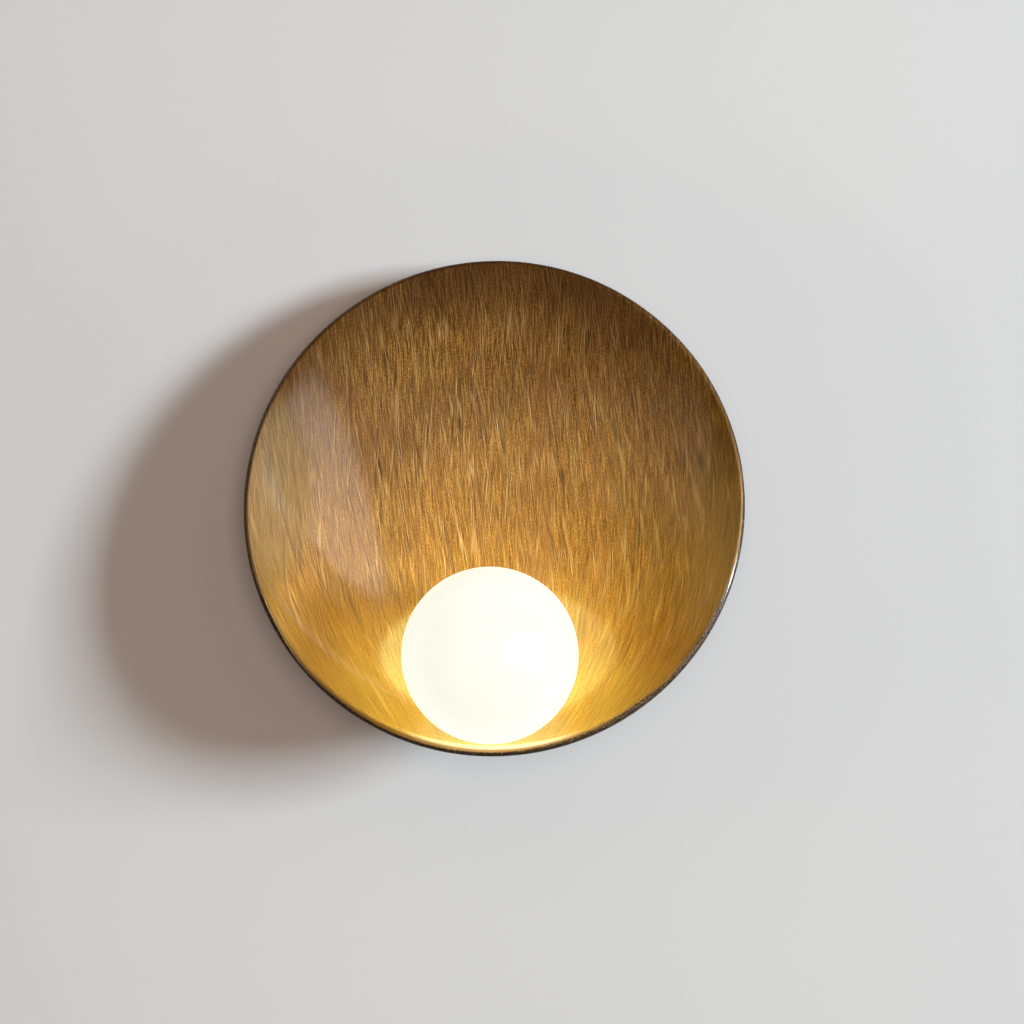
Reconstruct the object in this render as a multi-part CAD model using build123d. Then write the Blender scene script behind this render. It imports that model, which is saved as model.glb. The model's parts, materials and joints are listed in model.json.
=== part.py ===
"""Resin wall light: a tilted cast dish with an opal globe, on a round wall box.

Every piece is drawn as if the light lay on its back on a bench: x runs across, y runs up the wall
and z comes out of the wall. The last step stands it up, so that +Z is up and the front looks to -Y.
"""

from math import acos, cos, pi, radians, sin, sqrt, tan
import os

from build123d import *

# Sizes in millimetres, angles in degrees.

# Dish
rim_radius = 127.5
dish_depth = 42.0
dish_wall = 5.5
dish_tilt = 14.0
lip_round = 2.2
bowl_rings = 9

# Cast boss on the back of the dish
boss_inset = 6.0
boss_wall = 5.0
boss_height = 3.8
post_radius = 6.0
post_count = 3
post_bite = 2.0

# Wall box
housing_radius = 58.0
housing_depth = 19.0
housing_wall = 1.5
housing_round = 2.5
lead_margin = 12.0

# Wall bracket
strap_width = 22.0
strap_thick = 2.0
ear_height = 13.0
ear_gap = 0.5
side_screw_out = 8.5
wall_slot_spacing = 70.0
wall_slot_length = 14.0
wall_slot_width = 4.5
cable_hole_radius = 7.0
earth_across = 18.0

# Screws
thread_gap = 0.05
hole_gap = 0.25
m4_radius = 2.0
m4_head_radius = 3.8
m4_head_height = 2.6
m3_radius = 1.5
m3_head_radius = 2.4
m3_head_height = 1.6
insert_radius = 3.0
insert_length = 6.0
insert_gap = 0.05
insert_reserve = 1.0
spring_washer_radius = 3.6
spring_washer_thick = 1.0
earth_screw_reserve = 0.3

# Lamp axis: sizes along it, from the seat in the dish out to the globe
seat_recess = 3.0
seat_margin = 0.8
seat_washer_thick = 1.0
seat_washer_inset = 1.2
gallery_plate = 1.5
gallery_wall = 1.6
gallery_height = 12.0
neck_play = 0.3
neck_end_gap = 1.0
seal_thick = 1.0
seal_gap = 0.15

# Globe
globe_radius = 45.0
globe_glass = 2.5
neck_radius = 17.7
neck_glass = 2.7
lip_gap = 1.0

# Hollow threaded tube and what it clamps
nipple_radius = 5.0
nipple_bore = 3.5
nipple_proud_front = 0.6
nipple_proud_back = 2.5
nut_flats = 14.0
nut_thick = 3.5
pad_radius = 13.0
pad_proud = 2.0
back_washer_radius = 11.0
back_washer_thick = 1.5
tooth_washer_radius = 8.5
tooth_washer_thick = 0.9
tooth_count = 12
tooth_depth = 1.6
tooth_width = 1.2
bush_flange = 1.0
bush_wall = 0.6
bush_length = 5.0

# Lampholder
stirrup_thick = 1.0
stirrup_half = 12.6
stirrup_width = 9.0
stirrup_eye = 8.6
stirrup_tab = 5.0
lead_space = 4.0
holder_half = 8.0
holder_width = 11.0
holder_height = 18.0
holder_ear_half = 12.6
holder_ear_thick = 4.0
holder_screw_across = 10.4
holder_corner = 1.5
pin_pitch = 9.0
pin_radius = 0.5
pin_loop = 2.4
pin_length = 11.0
pin_gap = 0.08
contact_thick = 0.4
contact_side_gap = 0.15
contact_end_gap = 0.4
contact_top_gap = 1.5

# Bulb
bulb_radius = 8.2
bulb_base_height = 9.0
bulb_spigot = 4.0
bulb_spigot_gap = 0.1
envelope_wall = 0.8
envelope_height = 40.0
board_half = 5.5
board_thick = 1.2
board_height = 26.0
chip_across = 2.2
chip_along = 2.8
chip_thick = 0.6
chip_rows = 6

# Connector block
block_half = 15.5
block_height = 17.0
block_thick = 12.5
block_up = 17.5
block_corner = 1.0
pole_pitch = 10.0
barrel_half = 2.6
barrel_bore = 1.5
barrel_out = 6.0
barrel_gap = 0.15
barrel_end = 1.0
clamp_offset = 4.2
clamp_radius = 1.3
clamp_length = 3.6
clamp_slot = 0.6
clamp_slot_depth = 0.8
block_screw_recess = 3.0

# Leads
lead_radius = 1.1
lead_play = 0.2
lead_clearance = 0.05
lead_split = 1.35
lead_into_block = 4.0
grommet_bore = 3.6
grommet_wall = 2.0
grommet_flange = 1.6
tag_thick = 0.8
tag_radius = 3.8
tag_barrel_wall = 0.5
tag_barrel_length = 6.0
tag_neck = 0.6

# What follows from the sizes above.

BASE = (Align.CENTER, Align.CENTER, Align.MIN)
tilt = radians(dish_tilt)

seat_floor = -seat_recess
washer_top = seat_floor + seat_washer_thick
gallery_floor = washer_top + gallery_plate
gallery_top = washer_top + gallery_height
stirrup_top = gallery_floor + stirrup_thick
front_nut_top = stirrup_top + nut_thick
nipple_top = front_nut_top + nipple_proud_front
holder_base = front_nut_top + lead_space
holder_top = holder_base + holder_height
gallery_bore = neck_radius + neck_play
gallery_radius = gallery_bore + gallery_wall
seat_radius = gallery_radius + seat_margin
seal_bore = gallery_bore
seal_top = gallery_top + seal_thick
globe_centre = seal_top + seal_gap + sqrt(globe_radius**2 - seal_bore**2)
neck_end = gallery_floor + neck_end_gap

pad_back = seat_floor - dish_wall - pad_proud + seat_recess
back_washer_end = pad_back - back_washer_thick
tooth_washer_end = back_washer_end - tooth_washer_thick
back_nut_end = tooth_washer_end - nut_thick
nipple_end = back_nut_end - nipple_proud_back
bush_end = nipple_end - bush_flange

# The rim passes the globe by lip_gap, and the two arcs of the bowl both lie flat at the lamp seat.
rim_over = max(globe_centre - dish_depth, 0.0)
lip_reach = sqrt(globe_radius**2 - rim_over**2) + lip_gap
top_reach = 2 * rim_radius - lip_reach
low_arc = (lip_reach**2 + dish_depth**2) / (2 * dish_depth)
high_arc = (top_reach**2 + dish_depth**2) / (2 * dish_depth)

# The boss stands boss_height proud at its top, and the lamp axis leaves through the lead hole.
boss_radius = housing_radius - boss_inset
boss_inner = boss_radius - boss_wall
lead_drop = boss_inner - lead_margin
boss_reach = (boss_radius + lead_drop) * cos(tilt) - boss_height * sin(tilt)
boss_rise = high_arc - sqrt((high_arc + dish_wall) ** 2 - boss_reach**2)
seat_out = housing_depth + boss_height + boss_reach * sin(tilt) - boss_rise * cos(tilt)
seat_up = -lead_drop + (seat_out - housing_depth) * tan(tilt)
rim_up = seat_up + (rim_radius - lip_reach) * cos(tilt) + dish_depth * sin(tilt)
rim_out = seat_out - (rim_radius - lip_reach) * sin(tilt) + dish_depth * cos(tilt)
boss_front = (seat_out + rim_out) / 2

SEAT = Pos(0, seat_up, seat_out) * Rot(-dish_tilt, 0, 0)

housing_inner = housing_radius - housing_wall
plate_back = housing_depth - housing_wall
post_circle = boss_inner - post_radius + post_bite
ear_face = sqrt(housing_inner**2 - (strap_width / 2) ** 2) - ear_gap

block_back = plate_back - block_thick
barrel_level = plate_back - barrel_out
lead_level = barrel_level


def seat_point(x, y, w):
    """A point given along the lamp axis, in the frame of the wall."""
    return Vector(x, seat_up + y * cos(tilt) + w * sin(tilt), seat_out - y * sin(tilt) + w * cos(tilt))


def rod(radius, start, end, x=0.0, y=0.0):
    """A round bar along z between two heights."""
    return Pos(x, y, start) * Cylinder(radius, end - start, align=BASE)


def tube(outer, inner, start, end, x=0.0, y=0.0):
    return rod(outer, start, end, x, y) - rod(inner, start, end, x, y)


def slab(x_half, y_half, start, end, x=0.0, y=0.0):
    """A block along z between two heights."""
    return Pos(x, y, start) * Box(2 * x_half, 2 * y_half, end - start, align=BASE)


def pan_screw(radius, length, head_radius, head_height):
    """A cross-head screw whose head stands on z = 0 and whose thread, drawn plain, runs to -z."""
    head = rod(head_radius, 0, head_height)
    head = fillet(head.edges().group_by(Axis.Z)[-1], head_height * 0.6)
    cross = slab(head_radius * 0.6, head_radius * 0.14, head_height * 0.5, head_height)
    cross += slab(head_radius * 0.14, head_radius * 0.6, head_height * 0.5, head_height)
    return head - cross + rod(radius, -length, 0)


def hex_nut(start, end):
    blank = extrude(RegularPolygon(nut_flats / 2, 6, major_radius=False), end - start)
    return Pos(0, 0, start) * blank - rod(nipple_radius + thread_gap, start, end)


def sweep_round(path, radius):
    """A round wire along a path."""
    end = Plane(origin=path @ 0, z_dir=path % 0)
    return sweep(end * Circle(radius), path=path)


def around(circle, count, start=90.0):
    """Centres spread evenly on a circle in the wall's plane."""
    turns = [radians(start + 360.0 * k / count) for k in range(count)]
    return [(circle * cos(a), circle * sin(a)) for a in turns]


def group(shapes):
    return Compound([s for shape in shapes for s in shape.solids()])


# Dish


def bowl_ring(rise, skin, seam=0.0):
    """The circle of the bowl at one height over the seat, grown outward by skin."""
    low = acos(1 - rise / low_arc)
    high = acos(1 - rise / high_arc)
    low_y, low_z = -(low_arc + skin) * sin(low), low_arc - (low_arc + skin) * cos(low)
    high_y, high_z = (high_arc + skin) * sin(high), high_arc - (high_arc + skin) * cos(high)
    across = Vector(0, high_y - low_y, high_z - low_z)
    middle = (0, (low_y + high_y) / 2, (low_z + high_z) / 2)
    ring = Plane(origin=middle, x_dir=(1, 0, 0), z_dir=Vector(1, 0, 0).cross(across))
    return ring * Rot(0, 0, seam) * Circle(across.length / 2)


heights = [dish_depth * (k / bowl_rings) ** 2 for k in range(1, bowl_rings + 1)]
past_rim = dish_depth + 2 * lip_round

outside = loft([bowl_ring(h, dish_wall) for h in heights])
lip = loft([bowl_ring(dish_depth, dish_wall), bowl_ring(dish_depth, -lip_round)], ruled=True)
hollow = loft([bowl_ring(h, 0.0, seam=45.0) for h in heights + [past_rim]])
bowl = SEAT * (outside + lip)

posts = around(post_circle, post_count)
boss = rod(boss_radius, housing_depth, boss_front) - rod(boss_inner, housing_depth, boss_front)
for x, y in posts:
    boss += rod(post_radius, housing_depth, boss_front, x, y) & rod(boss_radius, housing_depth, boss_front)
pad = SEAT * rod(pad_radius, pad_back, 0)

dish = bowl + boss + pad - SEAT * hollow
rim_edges = [e for e in dish.edges() if e.length > 1.8 * pi * rim_radius]
dish = fillet(rim_edges, min(lip_round, 0.45 * dish_wall))
dish -= SEAT * rod(seat_radius, seat_floor, dish_depth)
dish -= SEAT * rod(nipple_radius + hole_gap, pad_back - pad_proud, seat_floor + seat_recess)
insert_hole = insert_length + insert_reserve
for x, y in posts:
    dish -= rod(insert_radius + insert_gap, housing_depth, housing_depth + insert_hole, x, y)

dish_inserts = group(
    [
        tube(insert_radius, m4_radius + thread_gap, housing_depth, housing_depth + insert_length, x, y)
        for x, y in posts
    ]
)

# Wall box and the screws that hold the dish to it

shell = rod(housing_radius, 0, housing_depth)
shell = fillet(shell.edges().group_by(Axis.Z)[-1], housing_round)
housing = shell - rod(housing_inner, 0, plate_back)
for x, y in posts:
    housing -= rod(m4_radius + hole_gap, 0, housing_depth, x, y)
grommet_hole = grommet_bore + grommet_wall
housing -= rod(grommet_hole, plate_back, housing_depth, 0, -lead_drop)
side_hole = Pos(0, 0, side_screw_out) * Rot(0, 90, 0) * rod(m4_radius + hole_gap, -housing_radius, housing_radius)
housing -= side_hole
block_holes = [(-pole_pitch / 2, block_up), (pole_pitch / 2, block_up)]
for x, y in block_holes:
    housing -= rod(m3_radius + thread_gap, plate_back, housing_depth, x, y)

screw_length = housing_wall + spring_washer_thick + insert_length
screw_face = plate_back - spring_washer_thick
housing_screw = Rot(180, 0, 0) * pan_screw(m4_radius, screw_length, m4_head_radius, m4_head_height)
housing_screws = group([Pos(x, y, screw_face) * housing_screw for x, y in posts])
spring_washers = group(
    [tube(spring_washer_radius, m4_radius + hole_gap, screw_face, plate_back, x, y) for x, y in posts]
)

lead_grommet = rod(grommet_hole - lead_clearance, plate_back, housing_depth, 0, -lead_drop)
lead_grommet += rod(grommet_hole + grommet_flange, plate_back - grommet_flange, plate_back, 0, -lead_drop)
lead_grommet += rod(grommet_hole + grommet_flange, housing_depth, housing_depth + grommet_flange, 0, -lead_drop)
lead_grommet -= rod(grommet_bore, 0, housing_depth + 2 * grommet_flange, 0, -lead_drop)

# Wall bracket

strap = slab(ear_face, strap_width / 2, 0, strap_thick)
for side in (-1, 1):
    ear_x = side * (ear_face - strap_thick / 2)
    strap += slab(strap_thick / 2, strap_width / 2, 0, ear_height, ear_x)
    slot = SlotOverall(wall_slot_length, wall_slot_width)
    strap -= Pos(side * wall_slot_spacing / 2, 0, 0) * extrude(slot, strap_thick)
strap -= rod(cable_hole_radius, 0, strap_thick)
strap -= rod(m4_radius + thread_gap, 0, strap_thick, -earth_across)
ear_holes = Rot(0, 90, 0) * rod(m4_radius + thread_gap, -housing_radius, housing_radius)
wall_bracket = strap - Pos(0, 0, side_screw_out) * ear_holes

side_screw = pan_screw(m4_radius, housing_radius - ear_face + strap_thick, m4_head_radius, m4_head_height)
side_screws = group(
    [Pos(s * housing_radius, 0, side_screw_out) * Rot(0, s * 90, 0) * side_screw for s in (-1, 1)]
)

# Earth tag, its screw and the connector block

tag_barrel = lead_radius + lead_clearance + tag_barrel_wall
tag_level = strap_thick + tag_barrel
tag_start = tag_radius + tag_neck
earth_tag = rod(tag_radius, strap_thick, strap_thick + tag_thick)
earth_tag += slab(tag_barrel, tag_start / 2, strap_thick, strap_thick + tag_thick, 0, -tag_start / 2)
sleeve = tube(tag_barrel, lead_radius + lead_clearance, 0, tag_barrel_length)
earth_tag += Pos(0, -tag_start, tag_level) * Rot(90, 0, 0) * sleeve
earth_tag -= rod(m4_radius + hole_gap, strap_thick, strap_thick + tag_thick)
earth_tag = Pos(-earth_across, 0, 0) * earth_tag

earth_length = strap_thick + tag_thick - earth_screw_reserve
earth_screw = pan_screw(m4_radius, earth_length, m4_head_radius, m4_head_height)
earth_screw = Pos(-earth_across, 0, strap_thick + tag_thick) * earth_screw

poles = [-pole_pitch, 0.0, pole_pitch]
block_bottom = block_up - block_height / 2
block = slab(block_half, block_height / 2, block_back, plate_back, 0, block_up)
block = fillet(block.edges().filter_by(Axis.Z), block_corner)
barrel_hole = barrel_half + barrel_gap
barrel_length = block_height - 2 * barrel_end
terminal_barrels = []
terminal_screws = []
for x in poles:
    upright = Pos(x, block_up, barrel_level) * Rot(90, 0, 0)
    block -= upright * slab(barrel_hole, barrel_hole, -barrel_length / 2, barrel_length / 2)
    block -= upright * rod(barrel_bore + lead_play, -block_height / 2, block_height / 2)
    barrel = upright * slab(barrel_half, barrel_half, -barrel_length / 2, barrel_length / 2)
    barrel -= upright * rod(barrel_bore, -barrel_length / 2, barrel_length / 2)
    for y in (block_up - clamp_offset, block_up + clamp_offset):
        clamp_end = barrel_level - barrel_bore
        block -= rod(clamp_radius + hole_gap, block_back, barrel_level - barrel_half, x, y)
        barrel -= rod(clamp_radius + thread_gap, barrel_level - barrel_half, clamp_end, x, y)
        clamp = rod(clamp_radius, clamp_end - clamp_length, clamp_end, x, y)
        slot_end = clamp_end - clamp_length + clamp_slot_depth
        clamp -= slab(clamp_radius, clamp_slot / 2, clamp_end - clamp_length, slot_end, x, y)
        terminal_screws.append(clamp)
    terminal_barrels.append(barrel)
block_screws = []
for x, y in block_holes:
    recess = block_back + block_screw_recess
    block -= rod(m3_head_radius + hole_gap, block_back, recess, x, y)
    block -= rod(m3_radius + hole_gap, recess, plate_back, x, y)
    fixing = pan_screw(m3_radius, housing_depth - recess, m3_head_radius, m3_head_height)
    block_screws.append(Pos(x, y, recess) * Rot(180, 0, 0) * fixing)
terminal_block = block

# Gallery, tube and clamping pieces on the lamp axis

seat_washer = SEAT * tube(gallery_radius - seat_washer_inset, nipple_radius + hole_gap, seat_floor, washer_top)
cup = rod(gallery_radius, washer_top, gallery_top) - rod(gallery_bore, gallery_floor, gallery_top)
gallery = SEAT * (cup - rod(nipple_radius + hole_gap, washer_top, gallery_floor))

nipple = SEAT * tube(nipple_radius, nipple_bore, nipple_end, nipple_top)
nipple_nuts = group([SEAT * hex_nut(stirrup_top, front_nut_top), SEAT * hex_nut(back_nut_end, tooth_washer_end)])
back_washer = SEAT * tube(back_washer_radius, nipple_radius + hole_gap, back_washer_end, pad_back)
toothed = tube(tooth_washer_radius, nipple_radius + hole_gap, tooth_washer_end, back_washer_end)
for k in range(tooth_count):
    notch = slab(tooth_depth, tooth_width / 2, tooth_washer_end, back_washer_end, tooth_washer_radius)
    toothed -= Rot(0, 0, 360.0 * k / tooth_count) * notch
tooth_washer = SEAT * toothed
bush = tube(nipple_radius, nipple_bore - lead_clearance - bush_wall, bush_end, nipple_end)
bush += tube(nipple_bore - lead_clearance, nipple_bore - lead_clearance - bush_wall, nipple_end, nipple_end + bush_length)
nipple_bush = SEAT * bush

globe_seal = SEAT * tube(gallery_radius, seal_bore, gallery_top, seal_top)

# Lampholder

strip = slab(stirrup_half, stirrup_width / 2, gallery_floor, stirrup_top)
strip += rod(stirrup_eye, gallery_floor, stirrup_top)
strip -= rod(nipple_radius + hole_gap, gallery_floor, stirrup_top)
holder_screws = []
for side in (-1, 1):
    leg_x = side * (stirrup_half - stirrup_thick / 2)
    tab_x = side * (stirrup_half - stirrup_tab / 2)
    strip += slab(stirrup_thick / 2, stirrup_width / 2, gallery_floor, holder_base, leg_x)
    strip += slab(stirrup_tab / 2, stirrup_width / 2, holder_base - stirrup_thick, holder_base, tab_x)
    strip -= rod(m3_radius + thread_gap, holder_base - stirrup_thick, holder_base, side * holder_screw_across)
    fixing = pan_screw(m3_radius, holder_ear_thick + stirrup_thick, m3_head_radius, m3_head_height)
    holder_screws.append(SEAT * Pos(side * holder_screw_across, 0, holder_base + holder_ear_thick) * fixing)
holder_stirrup = SEAT * strip

contact_gap = pin_radius + pin_gap
contact_half = contact_gap + contact_thick
contact_wide = pin_loop / 2 + pin_radius + contact_end_gap
pin_end = holder_top - pin_length
contact_floor = pin_end - contact_end_gap
contact_base = contact_floor - contact_thick
contact_top = holder_top - contact_top_gap
slot_half = contact_half + contact_side_gap
slot_wide = contact_wide + contact_side_gap

body = slab(holder_half, holder_width / 2, holder_base, holder_top)
body = fillet(body.edges().filter_by(Axis.Z), holder_corner)
body += slab(holder_ear_half, stirrup_width / 2, holder_base, holder_base + holder_ear_thick)
holder_contacts = []
for side in (-1, 1):
    pole = side * pin_pitch / 2
    body -= slab(slot_wide, slot_half, contact_base, holder_top, pole)
    body -= rod(lead_radius + lead_play, holder_base, contact_base, pole)
    body -= rod(m3_radius + hole_gap, holder_base, holder_base + holder_ear_thick, side * holder_screw_across)
    leaf = slab(contact_wide, contact_half, contact_base, contact_top, pole)
    leaf -= slab(contact_wide, contact_gap, contact_floor, contact_top, pole)
    holder_contacts.append(SEAT * leaf)
lampholder = SEAT * body

# Globe: a ball and its neck, turned as one wall of glass

inner_radius = globe_radius - globe_glass
neck_bore = neck_radius - neck_glass
outer_foot = globe_centre - sqrt(globe_radius**2 - neck_radius**2)
inner_foot = globe_centre - sqrt(inner_radius**2 - neck_bore**2)
profile = Polyline((neck_bore, inner_foot), (neck_bore, neck_end), (neck_radius, neck_end), (neck_radius, outer_foot))
profile += ThreePointArc(
    (neck_radius, outer_foot), (globe_radius, globe_centre), (0, globe_centre + globe_radius)
)
profile += Line((0, globe_centre + globe_radius), (0, globe_centre + inner_radius))
profile += ThreePointArc(
    (0, globe_centre + inner_radius), (inner_radius, globe_centre), (neck_bore, inner_foot)
)
globe = SEAT * revolve(Plane.XZ * make_face(profile), Axis.Z)

# Bulb

spigot_top = holder_top + bulb_base_height
envelope_start = spigot_top - bulb_spigot
envelope_top = envelope_start + envelope_height
spigot_radius = bulb_radius - envelope_wall - bulb_spigot_gap
base = rod(bulb_radius, holder_top, envelope_start) + rod(spigot_radius, envelope_start, spigot_top)
bulb_base = SEAT * base

dome = envelope_top - bulb_radius
glass = rod(bulb_radius, envelope_start, dome) + Pos(0, 0, dome) * Sphere(bulb_radius)
core = rod(bulb_radius - envelope_wall, envelope_start, dome) + Pos(0, 0, dome) * Sphere(bulb_radius - envelope_wall)
bulb_envelope = SEAT * (glass - core - rod(bulb_radius, envelope_start - bulb_radius, envelope_start))

led_board = SEAT * slab(board_half, board_thick / 2, spigot_top, spigot_top + board_height)
chips = []
for row in range(chip_rows):
    level = spigot_top + board_height * (row + 0.5) / chip_rows
    for x in (-board_half / 2, board_half / 2):
        for face in (-1, 1):
            level_y = face * (board_thick + chip_thick) / 2
            chips.append(
                SEAT
                * slab(chip_across / 2, chip_thick / 2, level - chip_along / 2, level + chip_along / 2, x, level_y)
            )
led_chips = group(chips)

pins = []
for side in (-1, 1):
    near, far = side * pin_pitch / 2 - pin_loop / 2, side * pin_pitch / 2 + pin_loop / 2
    turn = pin_end + pin_radius + pin_loop / 2
    loop = Line((near, 0, holder_top), (near, 0, turn))
    loop += ThreePointArc((near, 0, turn), ((near + far) / 2, 0, turn - pin_loop / 2), (far, 0, turn))
    loop += Line((far, 0, turn), (far, 0, holder_top))
    pins.append(SEAT * sweep_round(Wire(loop.edges()), pin_radius))
bulb_pins = group(pins)

# Leads: lampholder to connector block, and connector block to bracket

bend_level = holder_base - lead_radius / 2
converge = nipple_top + lead_radius / 2
past_grommet = (seat_out - lead_level) / cos(tilt)


def lamp_lead(side):
    pole = side * pin_pitch / 2
    split = side * lead_split
    points = [
        seat_point(pole, 0, contact_base),
        seat_point(pole, 0, bend_level),
        seat_point(split, 0, converge),
        seat_point(split, 0, -past_grommet),
        Vector(side * pole_pitch, block_bottom - 14.0, lead_level),
        Vector(side * pole_pitch, block_bottom + lead_into_block, lead_level),
    ]
    path = FilletPolyline(*points, radius=[1.5, 1.5, 4.0, 8.0])
    return sweep_round(path, lead_radius)


live_lead = lamp_lead(-1)
neutral_lead = lamp_lead(1)

tag_entry = -tag_start - tag_barrel_length
earth_points = [
    Vector(0, block_bottom + lead_into_block, lead_level),
    Vector(0, block_bottom - 6.0, lead_level),
    Vector(-5.0, tag_entry + 2.0, lead_level - 5.0),
    Vector(-earth_across, tag_entry - 8.0, tag_level),
    Vector(-earth_across, -tag_start - 1.0, tag_level),
]
earth_lead = sweep_round(FilletPolyline(*earth_points, radius=[4.0, 5.0, 4.0]), lead_radius)

pieces = {
    "dish": dish,
    "dish_inserts": dish_inserts,
    "housing": housing,
    "housing_screws": housing_screws,
    "spring_washers": spring_washers,
    "lead_grommet": lead_grommet,
    "wall_bracket": wall_bracket,
    "side_screws": side_screws,
    "earth_tag": earth_tag,
    "earth_screw": earth_screw,
    "terminal_block": terminal_block,
    "terminal_barrels": group(terminal_barrels),
    "terminal_screws": group(terminal_screws),
    "block_screws": group(block_screws),
    "seat_washer": seat_washer,
    "gallery": gallery,
    "nipple": nipple,
    "nipple_nuts": nipple_nuts,
    "back_washer": back_washer,
    "tooth_washer": tooth_washer,
    "nipple_bush": nipple_bush,
    "globe_seal": globe_seal,
    "holder_stirrup": holder_stirrup,
    "holder_screws": group(holder_screws),
    "holder_contacts": group(holder_contacts),
    "lampholder": lampholder,
    "globe": globe,
    "bulb_base": bulb_base,
    "bulb_pins": bulb_pins,
    "bulb_envelope": bulb_envelope,
    "led_board": led_board,
    "led_chips": led_chips,
    "live_lead": live_lead,
    "neutral_lead": neutral_lead,
    "earth_lead": earth_lead,
}

os.makedirs("parts", exist_ok=True)
stand_up = Rot(90, 0, 0)
for name, piece in pieces.items():
    solids = [stand_up * solid for solid in piece.solids()]
    export_step(solids[0] if len(solids) == 1 else Compound(solids), f"parts/{name}.step")
print(f"{len(pieces)} pieces; seat {seat_up:.2f} up, {seat_out:.2f} out; rim {rim_up:.2f} up, {rim_out:.2f} out")
print(f"globe centre {globe_centre:.2f} on the lamp axis, lip reach {lip_reach:.2f}")
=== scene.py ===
# %% [markdown]
# # A resin wall light, dressed from its solids
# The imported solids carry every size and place: metres, +X to the right, +Y into the wall, +Z up.
# This lesson loads them, remakes the two pieces that everybody looks at, the cast dish and the opal
# globe, and then gives each piece a finish built from nodes.

# %% Load the solids
import json
from math import acos, cos, degrees, pi, radians, sin, sqrt

import bmesh
import bpy
from mathutils import Matrix, Quaternion, Vector, noise


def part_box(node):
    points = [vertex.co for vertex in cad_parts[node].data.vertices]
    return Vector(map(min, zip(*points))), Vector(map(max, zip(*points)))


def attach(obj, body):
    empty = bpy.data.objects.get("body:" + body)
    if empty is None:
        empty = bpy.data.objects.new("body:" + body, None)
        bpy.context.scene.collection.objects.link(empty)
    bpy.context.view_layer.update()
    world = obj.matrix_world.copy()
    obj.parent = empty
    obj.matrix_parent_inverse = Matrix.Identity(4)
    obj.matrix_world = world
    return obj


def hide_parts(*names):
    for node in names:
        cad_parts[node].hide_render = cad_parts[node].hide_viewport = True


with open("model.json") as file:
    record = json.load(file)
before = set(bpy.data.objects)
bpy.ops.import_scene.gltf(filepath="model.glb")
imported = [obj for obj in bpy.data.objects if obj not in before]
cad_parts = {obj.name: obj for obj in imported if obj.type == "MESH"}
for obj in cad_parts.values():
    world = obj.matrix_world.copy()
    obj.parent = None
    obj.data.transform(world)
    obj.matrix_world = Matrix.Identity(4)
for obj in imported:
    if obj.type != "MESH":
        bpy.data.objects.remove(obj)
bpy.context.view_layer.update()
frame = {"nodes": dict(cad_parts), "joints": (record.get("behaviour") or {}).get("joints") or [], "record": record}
scene = bpy.context.scene


def rounded(values, digits=4):
    """Numbers cut short for printing."""
    return [round(value, digits) for value in values]


# %% [markdown]
# ## The lamp's own axis
# The dish leans back, and its globe screws off along the dish's axis. The joint of the globe already
# knows that line, so the frame of the seat is read from it: origin on the seat, second axis up the
# dish, third axis out along the lamp.

# %% Seat frame
globe_turn = next(joint for joint in frame["joints"] if joint["name"] == "globe_turn")
seat = Vector(globe_turn["pos_m"])
lamp_axis = Vector(globe_turn["axis"]).normalized()
across = Vector((1.0, 0.0, 0.0))
up_dish = lamp_axis.cross(across)


def axes(first, second, third):
    """The turn that lays X, Y and Z along three directions."""
    return Matrix((first, second, third)).transposed().to_4x4()


seat_frame = Matrix.Translation(seat) @ axes(across, up_dish, lamp_axis)
print("seat", rounded(seat), "lean", round(degrees(acos(-lamp_axis.y)), 2), "degrees")

# %% [markdown]
# ## The dish
# The real dish is cast resin, a shallow bowl whose lowest point sits close to its lower edge. Below
# the lamp the wall curls up in a tight arc, and above it runs out in a very flat one. Each level of
# the bowl is still a circle, so the shell can be made from circles joined by bridges. That keeps
# the mesh even and gives smooth reflections, which a mesh of long thin triangles would not. The
# solid's wall is half a millimetre thinner at the two sides, so the outer circles are drawn in a
# little across.

# %% The bowl's two arcs
rim_radius = 0.1275
dish_depth = 0.042
dish_wall = 0.0055
lip_round = 0.0022
# From the lamp's axis down to the rim, just clear of the globe
lip_reach = 0.044781
top_reach = 2 * rim_radius - lip_reach
low_arc = (lip_reach**2 + dish_depth**2) / (2 * dish_depth)
high_arc = (top_reach**2 + dish_depth**2) / (2 * dish_depth)
side_thinning = 0.0048
bowl_sides = 320


def bowl_circle(form, low_rise, high_rise, skin, cap=False):
    """One level of the bowl: its diameter joins a point of the low arc and one of the high arc."""
    low, high = acos(1 - low_rise / low_arc), acos(1 - high_rise / high_arc)
    low_out, high_out = low_arc + skin, high_arc + skin
    low_end = Vector((0, -low_out * sin(low), low_arc - low_out * cos(low)))
    high_end = Vector((0, high_out * sin(high), high_arc - high_out * cos(high)))
    along = (high_end - low_end).normalized()
    turn = axes(across, along, across.cross(along))
    narrow = Matrix.Diagonal((1 - side_thinning * skin / dish_wall, 1, 1, 1))
    place = seat_frame @ Matrix.Translation((low_end + high_end) / 2) @ turn @ narrow
    size = {"segments": bowl_sides, "radius": (high_end - low_end).length / 2}
    return bmesh.ops.create_circle(form, cap_ends=cap, matrix=place, **size)["verts"]


print("arcs of the bowl:", round(low_arc * 1000, 2), "and", round(high_arc * 1000, 1), "mm")

# %% [markdown]
# ## Levels from the seat, over the lip and down the back
# A bridge needs two loops, so the levels are listed in one run: up the inside, round the lip in two
# quarter turns, and down the outside. Each level also says how far round the lip it lies, from 0
# inside to 1 outside, because the lip gets its own worn finish.

# %% List of levels
inside_levels = 56
lip_steps = 7
outside_levels = 34
quarter_share, outer_start = 0.45, 0.55
rim_slope = sin(acos(1 - dish_depth / high_arc))


def lip_rises(drop):
    """Heights on the low and the high arc, one drop down the wall from the rim."""
    return dish_depth - drop, dish_depth - drop * rim_slope


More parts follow.
